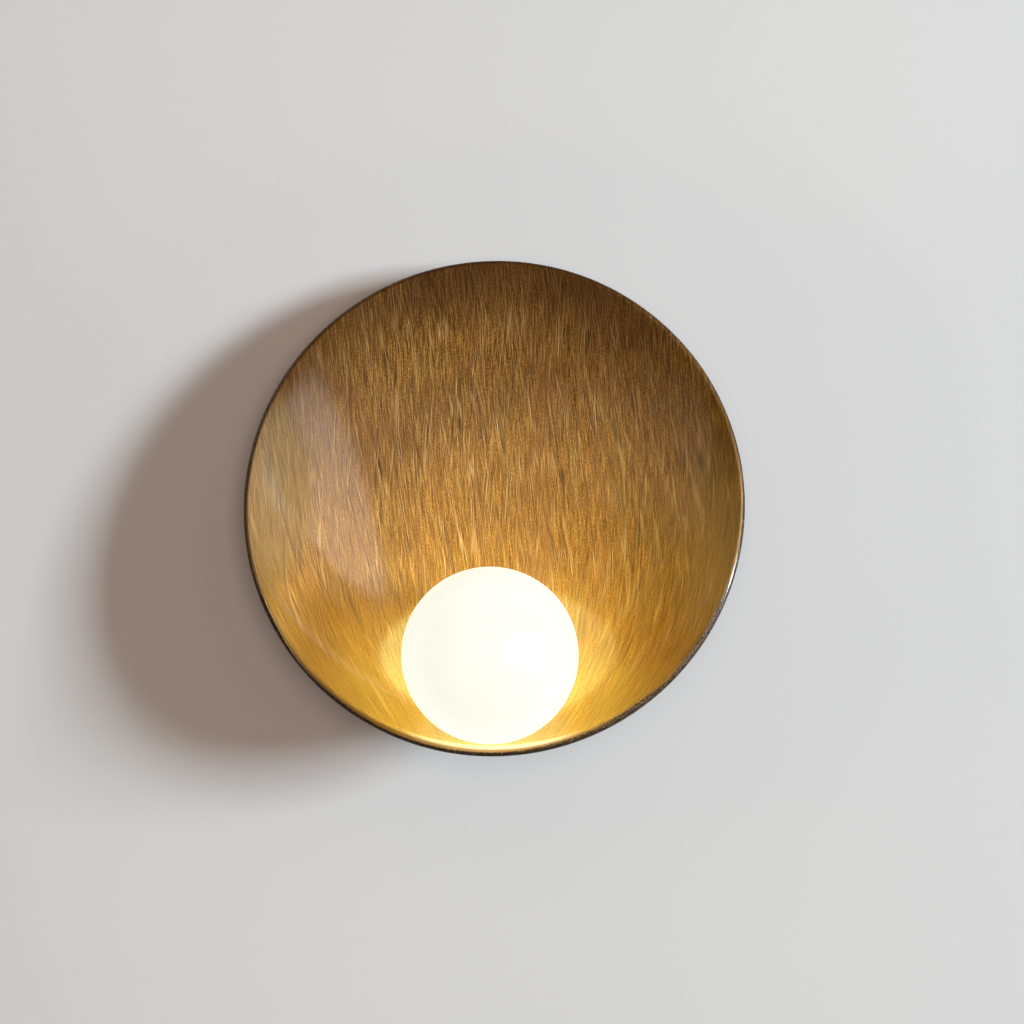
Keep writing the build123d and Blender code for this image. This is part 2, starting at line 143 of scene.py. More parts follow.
def wall_rises(level, count):
    """Heights of one level of a count, closer together near the seat."""
    share = (level / count) ** 2
    return [rise * share for rise in lip_rises(lip_round)]


levels = []
for level in range(2, inside_levels + 1):
    levels.append((*wall_rises(level, inside_levels), 0.0, 0.0))
for step in range(1, lip_steps + 1):
    turn = step / lip_steps * pi / 2
    skin = lip_round * (1 - cos(turn))
    levels.append((*lip_rises(lip_round * (1 - sin(turn))), skin, quarter_share * step / lip_steps))
for step in range(lip_steps + 1):
    turn = step / lip_steps * pi / 2
    skin = dish_wall - lip_round * (1 - sin(turn))
    share = outer_start + quarter_share * step / lip_steps
    levels.append((*lip_rises(lip_round * (1 - cos(turn))), skin, share))
for level in range(outside_levels - 1, 1, -1):
    levels.append((*wall_rises(level, outside_levels), dish_wall, 1.0))
print("levels:", len(levels))

# %% [markdown]
# ## One skin from the circles
# The circles are bridged in turn, and the first and the last are closed with a face. The outside
# gets the second material slot, which will be the dark back. A layer on the points keeps how far
# round the lip they lie, and the material reads it later as an attribute.

# %% Shell of the dish
back_slot = 1


def add_ring(form, ring, last):
    """Bridges a ring of points to the last ring's edges; returns the ring's edges and new faces."""
    edges = list({edge for vert in ring for edge in vert.link_edges})
    faces = bmesh.ops.bridge_loops(form, edges=last + edges)["faces"] if last else []
    return edges, faces


shell = bmesh.new()
lip_share = shell.verts.layers.float.new("lip")
last = []
for number, (low_rise, high_rise, skin, share) in enumerate(levels):
    ring = bowl_circle(shell, low_rise, high_rise, skin, cap=number in (0, len(levels) - 1))
    for vert in ring:
        vert[lip_share] = share
    last, faces = add_ring(shell, ring, last)
    for face in faces:
        face.material_index = back_slot if share == 1.0 else 0
for face in ring[0].link_faces:
    face.material_index = back_slot
bmesh.ops.recalc_face_normals(shell, faces=shell.faces)
print("shell of the dish:", len(shell.faces), "faces")

# %% [markdown]
# ## A lip rubbed down by hand
# On a real casting the lip is rubbed down by hand, so its line wanders a little, always inwards from
# the true size. Two noises, a slow and a quick one, say how far each point of the lip sinks in.

# %% Hand-rubbed lip
lip_start = 0.02
slow_scale, slow_depth = 30.0, 0.00022
quick_scale, quick_depth = 420.0, 0.00010
shell.normal_update()
for vert in shell.verts:
    if lip_start < vert[lip_share] < 1.0:
        slow = 0.5 + 0.5 * noise.noise(vert.co * slow_scale)
        quick = 0.5 + 0.5 * noise.noise(vert.co * quick_scale)
        sunk = sin(vert[lip_share] * pi) * (slow_depth * slow + quick_depth * quick)
        vert.co -= vert.normal * sunk


def new_piece(name, form, *materials):
    """Writes a bmesh to a mesh object at the origin and frees it."""
    mesh = bpy.data.meshes.new(name)
    form.to_mesh(mesh)
    form.free()
    for material in materials:
        mesh.materials.append(material)
    piece = bpy.data.objects.new(name, mesh)
    scene.collection.objects.link(piece)
    return piece


casting = [bpy.data.materials.new(name) for name in ("brushed_bronze", "dark_back")]
dish = new_piece("cast_dish", shell, *casting)
print("lip rubbed down,", len(dish.data.polygons), "faces kept")

# %% [markdown]
# ## The boss behind the dish
# Behind the bowl the casting carries a round boss that stands on the wall box, three posts for the
# brass inserts and a thick pad for the nut of the lamp tube. They are plain turned shapes, so they
# start as round bars, are cut off inside the bowl's wall, and are joined to the shell. Boolean
# modifiers do the joining, and the result is written back at once so that no cutter stays behind.


# %% Bars and joins
def bar(name, radius, start, end, place, sides=96):
    """A round bar between two heights on the third axis of a frame."""
    form = bmesh.new()
    middle = place @ Matrix.Translation((0, 0, (start + end) / 2))
    size = {"segments": sides, "radius1": radius, "radius2": radius, "depth": end - start}
    bmesh.ops.create_cone(form, cap_ends=True, matrix=middle, **size)
    for face in form.faces:
        face.material_index = back_slot
    return new_piece(name, form, *casting)


def join(piece, other, operation):
    """Joins or cuts with a Boolean modifier and keeps only the result."""
    step = piece.modifiers.new("step", "BOOLEAN")
    step.operation = operation
    step.solver = "EXACT"
    step.object = other
    worked_out = piece.evaluated_get(bpy.context.evaluated_depsgraph_get())
    result = bpy.data.meshes.new_from_object(worked_out)
    piece.modifiers.remove(step)
    old, spent = piece.data, other.data
    piece.data = result
    bpy.data.objects.remove(other)
    bpy.data.meshes.remove(old)
    bpy.data.meshes.remove(spent)


print("bars and joins ready")

# %% Boss, posts and pad
back_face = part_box("housing")[0].y
boss_radius, boss_inner, boss_depth, boss_sides = 0.052, 0.047, 0.036, 160
post_radius, post_circle, post_count = 0.006, 0.043, 3
pad_radius, pad_back, pad_front = 0.013, -0.0075, 0.002
past_end = 0.001
to_wall = Matrix.Rotation(radians(90), 4, "X")
out_of_wall = Matrix.Translation((0, back_face, 0)) @ to_wall

boss = bar("boss", boss_radius, 0.0, boss_depth, out_of_wall, boss_sides)
core = bar("boss_core", boss_inner, -past_end, boss_depth + past_end, out_of_wall, boss_sides)
join(boss, core, "DIFFERENCE")
posts = []
for number in range(post_count):
    angle = radians(90 + 360 / post_count * number)
    on_circle = Vector((post_circle * cos(angle), post_circle * sin(angle), 0))
    posts.append(out_of_wall @ Matrix.Translation(on_circle))
for place in posts:
    join(boss, bar("post", post_radius, 0.0, boss_depth, place), "UNION")
join(boss, bar("pad", pad_radius, pad_back, pad_front, seat_frame), "UNION")
print("boss, posts and pad:", len(boss.data.polygons), "faces")

# %% Boss cut off inside the bowl's wall
mould = bmesh.new()
last = []
for level in range(2, outside_levels + 1):
    rise = dish_depth * (level / outside_levels) ** 2
    ring = bowl_circle(mould, rise, rise, dish_wall / 2, cap=level in (2, outside_levels))
    last, _ = add_ring(mould, ring, last)
bmesh.ops.recalc_face_normals(mould, faces=mould.faces)
join(boss, new_piece("inner_mould", mould, *casting), "DIFFERENCE")
print("boss cut off:", len(boss.data.polygons), "faces")

# %% Dish in one casting
pocket_radius, pocket_floor = 0.0204, -0.003
tube_hole_radius, tube_hole_back, tube_hole_front = 0.00525, -0.012, 0.004
insert_hole_radius, insert_hole_depth = 0.00305, 0.007
casting_crease = radians(32)
join(dish, boss, "UNION")
join(dish, bar("seat_pocket", pocket_radius, pocket_floor, dish_depth, seat_frame), "DIFFERENCE")
tube_hole = bar("tube_hole", tube_hole_radius, tube_hole_back, tube_hole_front, seat_frame)
join(dish, tube_hole, "DIFFERENCE")
for place in posts:
    insert_hole = bar("insert_hole", insert_hole_radius, -past_end, insert_hole_depth, place)
    join(dish, insert_hole, "DIFFERENCE")
dish.data.shade_smooth()
dish.data.set_sharp_from_angle(angle=casting_crease)
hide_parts("dish")
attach(dish, "fixture")
print("dish:", len(dish.data.polygons), "faces, lip kept:", "lip" in dish.data.attributes)

# %% [markdown]
# ## The globe
# The shade is a blown ball of opal glass with a short neck. A sphere is opened with a plane where
# the neck starts, the cut edge is pulled down to make the neck, and a solid skin gives the glass
# its thickness. The neck takes away one pole of the sphere, and the other points straight out along
# the lamp's axis, where the even glow hides it.

# %% Opal globe
globe_radius, globe_glass, neck_radius = 0.045, 0.0025, 0.0177
globe_middle, neck_end = 0.05239, 0.0005
neck_bend, neck_straight = 0.0012, 0.004
glass_crease = radians(40)
ball = bmesh.new()
bmesh.ops.create_uvsphere(ball, u_segments=144, v_segments=96, radius=globe_radius)
neck_top = -sqrt(globe_radius**2 - neck_radius**2)
bmesh.ops.bisect_plane(
    ball,
    geom=ball.verts[:] + ball.edges[:] + ball.faces[:],
    plane_co=(0, 0, neck_top),
    plane_no=(0, 0, -1),
    clear_outer=True,
)
rim = [edge for edge in ball.edges if edge.is_boundary]
for height in (neck_top - neck_bend, neck_top - neck_straight, neck_end - globe_middle):
    pulled = bmesh.ops.extrude_edge_only(ball, edges=rim)["geom"]
    rim = [item for item in pulled if isinstance(item, bmesh.types.BMEdge)]
    for vert in {vert for edge in rim for vert in edge.verts}:
        vert.co.z = height
bmesh.ops.recalc_face_normals(ball, faces=ball.faces)
bmesh.ops.solidify(ball, geom=ball.faces[:], thickness=globe_glass)
globe_frame = seat_frame @ Matrix.Translation((0, 0, globe_middle))
bmesh.ops.transform(ball, matrix=globe_frame, verts=ball.verts)
globe = new_piece("opal_globe", ball)
globe.data.shade_smooth()
globe.data.set_sharp_from_angle(angle=glass_crease)
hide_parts("globe")
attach(globe, "globe")
print("globe:", len(globe.data.polygons), "faces")

# %% [markdown]
# ## Writing finishes as sums
# A finish is a small calculation on each point of a surface. One class wraps a node's output, so
# that adding or multiplying two of them adds the Math nodes, and its node method makes any other
# node from its type, its settings and what goes into its sockets.


# %% Values of a finish
class Value:
    """One output in a node tree."""

    def __init__(self, tree, socket):
        self.tree = tree
        self.socket = socket

    def node(self, kind, settings, inputs, output=0):
        """Adds a node: settings first, then numbers, colours or links for its sockets."""
        made = self.tree.nodes.new(kind)
        for name, setting in settings.items():
            if name == "stops":
                while len(made.color_ramp.elements) < len(setting):
                    made.color_ramp.elements.new(0.5)
                for stop, (place, colour) in zip(made.color_ramp.elements, setting):
                    stop.position = place
                    stop.color = (*colour, 1.0)
            else:
                setattr(made, name, setting)
        for name, value in inputs.items():
            if isinstance(value, Value):
                self.tree.links.new(value.socket, made.inputs[name])
            else:
                made.inputs[name].default_value = value
        return Value(self.tree, made.outputs[output])

    def math(self, operation, *values):
        return self.node("ShaderNodeMath", {"operation": operation}, dict(enumerate(values)))

    def __add__(self, other):
        return self.math("ADD", self, other)

    __radd__ = __add__

    def __sub__(self, other):
        return self.math("SUBTRACT", self, other)

    def __rsub__(self, other):
        return self.math("SUBTRACT", other, self)

    def __mul__(self, other):
        return self.math("MULTIPLY", self, other)

    __rmul__ = __mul__

    def __truediv__(self, other):
        return self.math("DIVIDE", self, other)

    def __rtruediv__(self, other):
        return self.math("DIVIDE", other, self)

    def absolute(self):
        return self.math("ABSOLUTE", self)

    def root(self):
        return self.math("SQRT", self)

    def sine(self):
        return self.math("SINE", self)

    def at_most(self, limit):
        return self.math("MINIMUM", self, limit)

    def at_least(self, limit):
        return self.math("MAXIMUM", self, limit)

    def span(self, low, high):
        """Runs smoothly from 0 at low to 1 at high."""
        settings = {"interpolation_type": "SMOOTHSTEP"}
        inputs = {"Value": self, "From Min": low, "From Max": high}
        return self.node("ShaderNodeMapRange", settings, inputs)

    def ramp(self, *stops):
        """A colour for each value, from stops of place and colour."""
        return self.node("ShaderNodeValToRGB", {"stops": stops}, {"Fac": self})

    def blend(self, first, second):
        """The first colour where this value is 0, the second where it is 1."""
        first, second = (
            colour if isinstance(colour, Value) else (*colour, 1.0) for colour in (first, second)
        )
        return self.node("ShaderNodeMix", {"data_type": "RGBA"}, {0: self, 6: first, 7: second}, 2)


print("values of a finish ready")


# %% Tools for finishes
def split(place):
    """The three numbers of a vector."""
    return [place.node("ShaderNodeSeparateXYZ", {}, {"Vector": place}, axis) for axis in range(3)]


def new_finish(name):
    """A material, its shader node, the Object coordinates and their three numbers."""
    material = bpy.data.materials.get(name) or bpy.data.materials.new(name)
    material.use_nodes = True
    shader = material.node_tree.nodes["Principled BSDF"]
    spot = Value(material.node_tree, None).node("ShaderNodeTexCoord", {}, {}, "Object")
    return material, shader, spot, split(spot)


def vector(x, y, z):
    """Three numbers as one vector; at least one is a value of the finish."""
    some = next(number for number in (x, y, z) if isinstance(number, Value))
    return some.node("ShaderNodeCombineXYZ", {}, {0: x, 1: y, 2: z})


def cloud(place, scale, detail=2.0, rough=0.5):
    """Soft noise around one half."""
    inputs = {"Vector": place, "Scale": scale, "Detail": detail, "Roughness": rough}
    return place.node("ShaderNodeTexNoise", {}, inputs)


def layered(colour, *layers):
    """Lays further colours over a first one, each by its own share."""
    for share, further in layers:
        colour = share.blend(colour, further)
    return colour


def bumps(height, strength, distance):
    """A Bump node's normal from a height."""
    inputs = {"Strength": strength, "Distance": distance, "Height": height}
    return height.node("ShaderNodeBump", {}, inputs)


def feed(shader, **sockets):
    """Sets a shader's sockets, named with underscores for spaces, to numbers, colours or links."""
    for name, value in sockets.items():
        socket = shader.inputs[name.replace("_", " ")]
        if isinstance(value, Value):
            value.tree.links.new(value.socket, socket)
        else:
            socket.default_value = value


def print_nodes(finish):
    """Prints how many nodes a finish has so far."""
    print(finish.name, "has", len(finish.node_tree.nodes), "nodes")


print("tools for finishes ready")

# %% [markdown]
# ## Brushed bronze
# The maker paints the resin with bronze and drags a stiff brush through it: down the upper half in
# near-vertical strokes, and below along the bowl so that the strokes draw together under the globe.
# Dividing the distance across by the width of the bowl at each height gives a number that is
# constant along such a stroke, and two slow noises let the strokes sway a little. Noise that is
# squeezed across the stroke and drawn out along it gives hairs of any width, length and lean.

# %% Where the brush runs
rim_middle = seat_frame @ Vector((0, rim_radius - lip_reach, dish_depth))
fan_height = 0.136
bronze, shader, spot, (x, y, z) = new_finish("brushed_bronze")
fall = (z - rim_middle.z).at_most(0.0) / fan_height
sway = cloud(vector(x * 9.0, 0.0, z * 9.0), 1.0, 1.0) - 0.5
sway_fine = cloud(vector(x * 60.0, 3.0, z * 14.0), 1.0, 1.0) - 0.5
line = x / (1.0 - fall * fall).root() + sway * 0.010 + sway_fine * 0.0012


def strokes(tilt, fine_across, fine_along, seed, detail=1.0):
    """Noise along strokes that lean by a tilt, with a fineness across them and one along them."""
    place = vector((line + z * tilt) * fine_across, seed, (z - line * tilt) * fine_along)
    return cloud(place, 1.0, detail, 0.6)


print("strokes draw together", fan_height * 1000, "mm below the middle of the rim")

# %% [markdown]
# ## Marks of the brush
# Four layers of strokes with different widths and leans, and a little grit, make one number: how
# deep the brush has cut. The marks are harder towards the top, and softer near the globe and at the
# far left. A ramp turns the number into dark, middle and bright bronze.

# %% Hairs of the brush
hairs = strokes(0.05, 1600.0, 60.0, 0.0)
bristles = strokes(0.02, 560.0, 16.0, 7.0)
slanted = strokes(0.15, 1450.0, 55.0, 2.0)
crossed = strokes(-0.09, 1400.0, 65.0, 5.0)
grit = cloud(vector(x * 1700.0, y * 1700.0, z * 1100.0), 1.0, 0.0)
near_globe = z.span(0.055, -0.01)
harder = 1.05 + z.span(0.05, 0.17) * 0.85 - near_globe * 0.35
softer_left = 0.72 + x.span(-0.11, -0.04) * 0.28
depth = hairs * 0.32 + bristles * 0.06 + slanted * 0.25 + crossed * 0.17 + grit * 0.20
depth = (depth - 0.5) * harder * softer_left + 0.5
metal = depth.ramp(
    (0.34, (0.120, 0.043, 0.008)),
    (0.46, (0.285, 0.125, 0.022)),
    (0.54, (0.430, 0.205, 0.040)),
    (0.66, (0.710, 0.395, 0.102)),
)
print_nodes(bronze)

# %% [markdown]
# ## Scratches and patches
# Single scratches lie where a drawn-out noise passes through one value: a thin bright burr with a
# dark groove beside it. Slower noise mixes redder and greener patches of metal.

# %% Scratches and patches
groove_brown, burr_gold = (0.080, 0.032, 0.008), (0.74, 0.46, 0.18)
red_bronze, green_bronze = (0.40, 0.178, 0.060), (0.34, 0.230, 0.055)
scratch_leans_and_seeds = ((0.04, 11.0), (0.14, 17.0), (-0.08, 23.0), (0.22, 29.0))


def scratches(tilt, seed):
    """Bright burrs and the dark grooves beside them."""
    field = strokes(tilt, 620.0, 13.0, seed, detail=0.0) - 0.5
    runs = strokes(tilt, 240.0, 24.0, seed + 3.0).span(0.52, 0.64)
    burr = field.absolute().span(0.06, 0.0) * runs
    groove = (field - 0.085).absolute().span(0.07, 0.0) * runs
    return burr, groove


pairs = [scratches(tilt, seed) for tilt, seed in scratch_leans_and_seeds]
burrs, grooves = (sum(kind[1:], kind[0]) for kind in zip(*pairs))
patches = cloud(vector(x * 22.0, 1.0, z * 13.0), 1.0, 3.0, 0.6)
tint = cloud(vector(line * 60.0, 4.0, z * 9.0), 1.0, 2.0)
mixed = patches * 0.5 + tint * 0.5
plain = 1.0 - near_globe * 0.45
metal = layered(
    metal,
    (grooves * plain * 0.72, groove_brown),
    (burrs * plain * 0.60, burr_gold),
    (mixed.span(0.48, 0.62) * 0.28, red_bronze),
    (mixed.span(0.50, 0.36) * 0.22, green_bronze),
)
print("scratches:", len(pairs), "sets")

# %% [markdown]
# ## Painted shade and glow
# Then come broad tones, most of them painted light: painted shade towards the upper rim and on two
# flanks, a painted glow that rises from the globe up the middle of the bowl with painted shade around
# it, random darker patches, browner at the right, a painted pale sheen at the left where the lacquer
# is thin, and painted golden glow low in the bowl and at the lower left.

# %% Painted shade, glow and sheen
# Colours for painted shade, a painted pale sheen, painted glow, and the browner right side
shade_and_patch_brown, painted_sheen_tan = (0.058, 0.020, 0.004), (0.23, 0.152, 0.080)
painted_glow_lower_left, painted_glow_low = (0.70, 0.40, 0.10), (0.72, 0.56, 0.16)
right_tan, right_red = (0.46, 0.30, 0.14), (0.20, 0.06, 0.008)
glow_streak_middle, glow_streak_radii = (0.030, 0.050), (0.105, 0.066)
sheen_patch_middle, sheen_patch_radii = (-0.117, 0.064), (0.018, 0.040)


def ellipse(middle, radii):
    """0 in the middle of an upright ellipse, 1 on its line and more outside."""
    aside, above = (x - middle[0]) / radii[0], (z - middle[1]) / radii[1]
    return aside * aside + above * above


# Painted glow and shade: the bronze is darkened outside an upright ellipse above the globe, so that a glow seems
# to rise up the middle, and darkened towards the upper rim and on two flanks
lean = up_dish.z * (z - rim_middle.z) + up_dish.y * (y - rim_middle.y)
outward = (x * x + lean * lean).root() / rim_radius
outside_painted_glow = ellipse(glow_streak_middle, glow_streak_radii).span(0.15, 1.2) * z.span(-0.02, 0.06)
painted_shade_at_top = outward.span(0.62, 1.0) * lean.span(-0.02, 0.09) * (1.0 - x.span(0.05, 0.10) * 0.5)
right_flank = x.span(0.045, 0.09) * z.span(0.0, 0.05) * z.span(0.11, 0.08)
left_flank = x.span(-0.01, -0.05) * z.span(0.055, 0.08) * z.span(0.14, 0.11)
dark = outside_painted_glow * 0.40 + painted_shade_at_top * 0.46 + right_flank * 0.13 + (patches - 0.5) * 0.3 + left_flank * 0.09
thin_lacquer_and_sheen = ellipse(sheen_patch_middle, sheen_patch_radii)
metal = layered(
    metal,
    # Painted shade around the painted glow, at the upper rim and on the flanks, with random darker patches
    (dark.at_least(0.0), shade_and_patch_brown),
    # Painted pale sheen: a reflection painted into the colour where the lacquer is thin
    (thin_lacquer_and_sheen.span(2.2, 0.5) * 0.55, painted_sheen_tan),
    # Painted glow of the globe at the lower left
    (x.span(-0.04, -0.08) * z.span(0.02, -0.01) * 0.24, painted_glow_lower_left),
    # Painted golden glow of the globe low in the bowl
    (z.span(-0.012, -0.036) * 0.14, painted_glow_low),
    (x.span(0.085, 0.12) * z.span(0.11, 0.04) * 0.5, right_tan),
    (x.span(0.05, 0.09) * z.span(0.03, -0.02) * 0.16, right_red),
)
print_nodes(bronze)

# %% [markdown]
# ## The worn lip
# Along the lip the bronze is rubbed through to a dark undercoat. Where that starts wanders along the
# lip: early at the upper left and the lower right, late under the globe. The undercoat is browner in
# those two places, and at the lower right it has pale worn flakes.

# %% Undercoat of the lip
flake_tan = (0.46, 0.35, 0.24)
lip = spot.node("ShaderNodeAttribute", {"attribute_name": "lip"}, {}, "Fac")
grain = cloud(spot, 900.0, 2.0, 0.6)
flakes = cloud(spot, 1900.0, 1.0)
low, right = z.span(0.04, -0.01), x.span(0.0, 0.07)
low_right = low * right
left_side, under = x.span(0.02, -0.07), z.span(0.0, -0.035)
dark_undercoat = grain.ramp(
    (0.35, (0.008, 0.004, 0.002)),
    (0.55, (0.032, 0.015, 0.006)),
    (0.72, (0.14, 0.074, 0.030)),
)
low_right_brown = grain.ramp((0.35, (0.024, 0.010, 0.003)), (0.70, (0.120, 0.052, 0.013)))
upper_left_brown = grain.ramp((0.35, (0.05, 0.022, 0.007)), (0.70, (0.17, 0.085, 0.026)))
undercoat = layered(
    dark_undercoat,
    (low_right * 0.5, low_right_brown),
    (flakes.span(0.58, 0.68) * (0.08 + low_right * 0.6) * 0.85, flake_tan),
    (x.span(0.06, 0.0) * z.span(0.0, 0.035) * 0.85, upper_left_brown),
)
start = 0.46 - left_side * z.span(0.03, 0.09) * 0.26 + under * 0.12 - low_right * 0.14
start = start + (cloud(spot, 40.0, 2.0) - 0.5) * 0.25 + (grain - 0.5) * (0.10 + low_right * 0.25)
rubbed = (lip - start).span(-0.02, 0.03)
print_nodes(bronze)

# %% [markdown]
# ## Bronze beside the lip
# At the lower left the bronze ends in a painted highlight along the edge. Along the low lip it is a
# little browner. Under the globe it is greyer on the floor of the bowl, and a painted highlight line
# and a painted shade line run along the lip.

# %% Bronze beside the lip
floor_grey, lip_brown = (0.33, 0.34, 0.42), (0.130, 0.062, 0.018)
highlight_cream, painted_lip_highlight, painted_lip_shade = (0.92, 0.76, 0.56), (0.56, 0.42, 0.48), (0.24, 0.115, 0.030)
# Painted highlight: a thin bright line where the bronze meets the lip at the lower left
painted_edge_highlight = (lip - start + 0.06).absolute().span(0.06, 0.0) * low * (1.0 - right)
low_lip = lip.span(0.03, 0.16) * low
mid_bowl = (x * x).span(0.0024, 0.0003)
metal = layered(
    metal,
    (mid_bowl * z.span(-0.045, -0.058) * 0.30, floor_grey),
    (low_lip * (0.30 - mid_bowl * 0.16), lip_brown),
    (painted_edge_highlight * (0.55 - under * 0.30), highlight_cream),
    # Painted highlight of the globe's light along the lip under it
    (lip.span(0.04, 0.18) * under * mid_bowl * 0.50, painted_lip_highlight),
    # Painted shade on the lip's crest under the globe
    (lip.span(0.36, 0.50) * under * 0.85, painted_lip_shade),
)
print_nodes(bronze)

# %% [markdown]
# ## Lacquer and relief
# A coat of lacquer gives a pale sheen. It is nearly missing over the patch at the left where the pale
# sheen is painted into the colour instead, weak along the rim, at the top and to the right of the
# globe, and worn off the lip. The brush marks and scratches are also cut into the surface as a small
# bump, so that they catch the light.

# %% Lacquer and relief
on_thin = 0.015 + 0.885 * thin_lacquer_and_sheen.span(0.5, 2.2)
along_rim = 1.0 - outward.span(0.90, 0.99) * (1.0 - low)
at_top = 1.0 - z.span(0.095, 0.145) * 0.9
beside_globe = 1.0 - x.span(0.02, 0.06) * z.span(0.07, 0.03) * 0.6
lacquer = on_thin * along_rim * at_top * beside_globe * (1.0 - low_lip * 0.85)
lip_polish = 0.05 + right * (0.35 - low * 0.20)
relief = depth + burrs * 0.3 - grooves * 0.3 + rubbed * (grain * 0.2)
feed(shader, Base_Color=rubbed.blend(metal, undercoat))
feed(shader, Metallic=0.9 - rubbed * 0.45)
feed(shader, Roughness=0.66 - (depth - 0.5) * 0.4 - rubbed * 0.20)
feed(shader, Coat_Weight=lacquer * (1.0 - rubbed) + rubbed * lip_polish)
feed(shader, Coat_Roughness=0.11, Coat_IOR=1.6)
feed(shader, Normal=bumps(relief, strength=0.40, distance=0.0006))
print_nodes(bronze)

# %% [markdown]
# ## The dark back
# The back of the casting is only painted dark, with a rougher brush, because it faces the wall once
# the light hangs. Grain, brush strokes and slow patches are mixed into one number, which sets the
# colour, the shine and a small bump together.


# %% Dark back of the dish
def dark_back():
    material, shader, spot, (x, y, z) = new_finish("dark_back")
    grain = cloud(spot, 900.0, 2.0, 0.6)
    brush = cloud(vector(x * 420.0, y * 60.0, z * 40.0), 1.0, 3.0, 0.6)
    slow = cloud(spot, 36.0, 3.0, 0.6)
    mixed = grain * 0.3 + brush * 0.4 + slow * 0.3
    paint = mixed.ramp(
        (0.38, (0.026, 0.016, 0.009)),
        (0.55, (0.078, 0.046, 0.024)),
        (0.68, (0.19, 0.115, 0.054)),
    )
    feed(shader, Base_Color=paint, Metallic=0.45, Roughness=0.50 + (mixed - 0.5) * 0.5)
    feed(shader, Normal=bumps(mixed, strength=0.3, distance=0.0005))
    return material


print_nodes(dark_back())

# %% [markdown]
# ## Lit opal glass
# Opal glass scatters the light of the bulb so well that the whole ball glows. A warm emission just
# under 1 gives the glow, and what the skin reflects brings it up to a creamy white. The light that
# the ball throws into the bowl comes from a lamp set later. The glass still has a satin skin for
# when it is seen from near.


# %% Opal glass
def opal_glass():
    material, shader, spot, _ = new_finish("opal_glass")
    swirl = cloud(spot, 26.0, 2.0)
    feed(shader, Base_Color=swirl.ramp((0.3, (0.11, 0.11, 0.10)), (0.7, (0.14, 0.14, 0.13))))
    feed(shader, Emission_Color=swirl.ramp((0.3, (0.90, 0.90, 0.78)), (0.7, (0.92, 0.92, 0.80))))
    feed(shader, Emission_Strength=1.0, Roughness=0.24 + swirl * 0.1)
    return material


globe.data.materials.append(opal_glass())
print("globe glows")

# %% [markdown]
# ## Finishes of the hidden pieces
# Behind the dish there are coated steel, plated steel, brass, ceramic, nylon, rubber and wire. Most
# differ only in colours, shine and grain, so two makers, one for metals and one for moulded and
# fired pieces, take those as values.


# %% Plated, turned and coated metals
def metal_finish(name, dark, light, dullness, grain=700.0, metallic=1.0, bump=0.12):
    material, shader, spot, _ = new_finish(name)
    fine = cloud(spot, grain, 3.0, 0.6)
    slow = cloud(spot, 45.0, 3.0, 0.6)
    mixed = fine * 0.5 + slow * 0.5
    feed(shader, Base_Color=mixed.ramp((0.36, dark), (0.62, light)), Metallic=metallic)
    feed(shader, Roughness=dullness + (mixed - 0.5) * 0.5)
    feed(shader, Normal=bumps(fine, strength=bump, distance=0.0003))
    return material


# Dark and light colour, dullness, scale of the grain, metallic and bump
metals = {
    "dark_bronze_paint": ((0.022, 0.016, 0.011), (0.050, 0.036, 0.024), 0.46, 900.0, 0.35, 0.35),
    "zinc_steel": ((0.27, 0.275, 0.29), (0.46, 0.465, 0.47), 0.52, 500.0, 1.0, 0.10),
    "brass": ((0.48, 0.31, 0.11), (0.76, 0.56, 0.24), 0.28, 800.0),
    "bronzed_steel": ((0.15, 0.085, 0.032), (0.30, 0.185, 0.075), 0.36, 700.0, 0.8),
    "tinned": ((0.55, 0.55, 0.54), (0.80, 0.80, 0.77), 0.25, 900.0),
}
finishes = {name: metal_finish(name, *look) for name, look in metals.items()}
print("metals:", len(finishes))


# %% Moulded and fired pieces
def moulded_finish(name, dark, light, dullness, grain=1200.0, bump=0.08, coat=0.0):
    material, shader, spot, _ = new_finish(name)
    fine = cloud(spot, grain, 2.0)
    slow = cloud(spot, 60.0, 3.0, 0.6)
    feed(shader, Base_Color=(fine * 0.3 + slow * 0.7).ramp((0.35, dark), (0.65, light)))
    feed(shader, Roughness=dullness + (slow - 0.5) * 0.3, Coat_Weight=coat)
    feed(shader, Normal=bumps(fine, strength=bump, distance=0.0002))
    return material


# Dark and light colour, dullness, scale of the grain, bump and coat
moulded = {
    "ceramic": ((0.70, 0.67, 0.60), (0.84, 0.82, 0.76), 0.55, 1500.0, 0.25),
    "nylon_white": ((0.68, 0.68, 0.65), (0.80, 0.80, 0.77), 0.45),
    "nylon_black": ((0.010, 0.010, 0.010), (0.028, 0.028, 0.028), 0.45),
    "rubber_black": ((0.008, 0.008, 0.008), (0.022, 0.021, 0.020), 0.68, 1800.0, 0.3),
    "silicone_clear": ((0.52, 0.52, 0.49), (0.66, 0.66, 0.62), 0.42),
    "lead_brown": ((0.060, 0.024, 0.010), (0.110, 0.046, 0.020), 0.42),
    "lead_blue": ((0.012, 0.050, 0.240), (0.022, 0.085, 0.340), 0.42),
    "bulb_plastic": ((0.78, 0.78, 0.75), (0.88, 0.88, 0.86), 0.30, 1200.0, 0.08, 0.3),
    "pcb": ((0.72, 0.73, 0.70), (0.84, 0.84, 0.81), 0.32, 600.0),
}
finishes.update({name: moulded_finish(name, *look) for name, look in moulded.items()})
print("finishes so far:", len(finishes))

# %% [markdown]
# ## Three finishes of their own
# The sleeve of the earth lead is striped green and yellow, the bulb's cover is clear plastic, and the
# lamp chips are coated with a yellow phosphor that glows. None of them fits the two makers, so each
# has its own function.


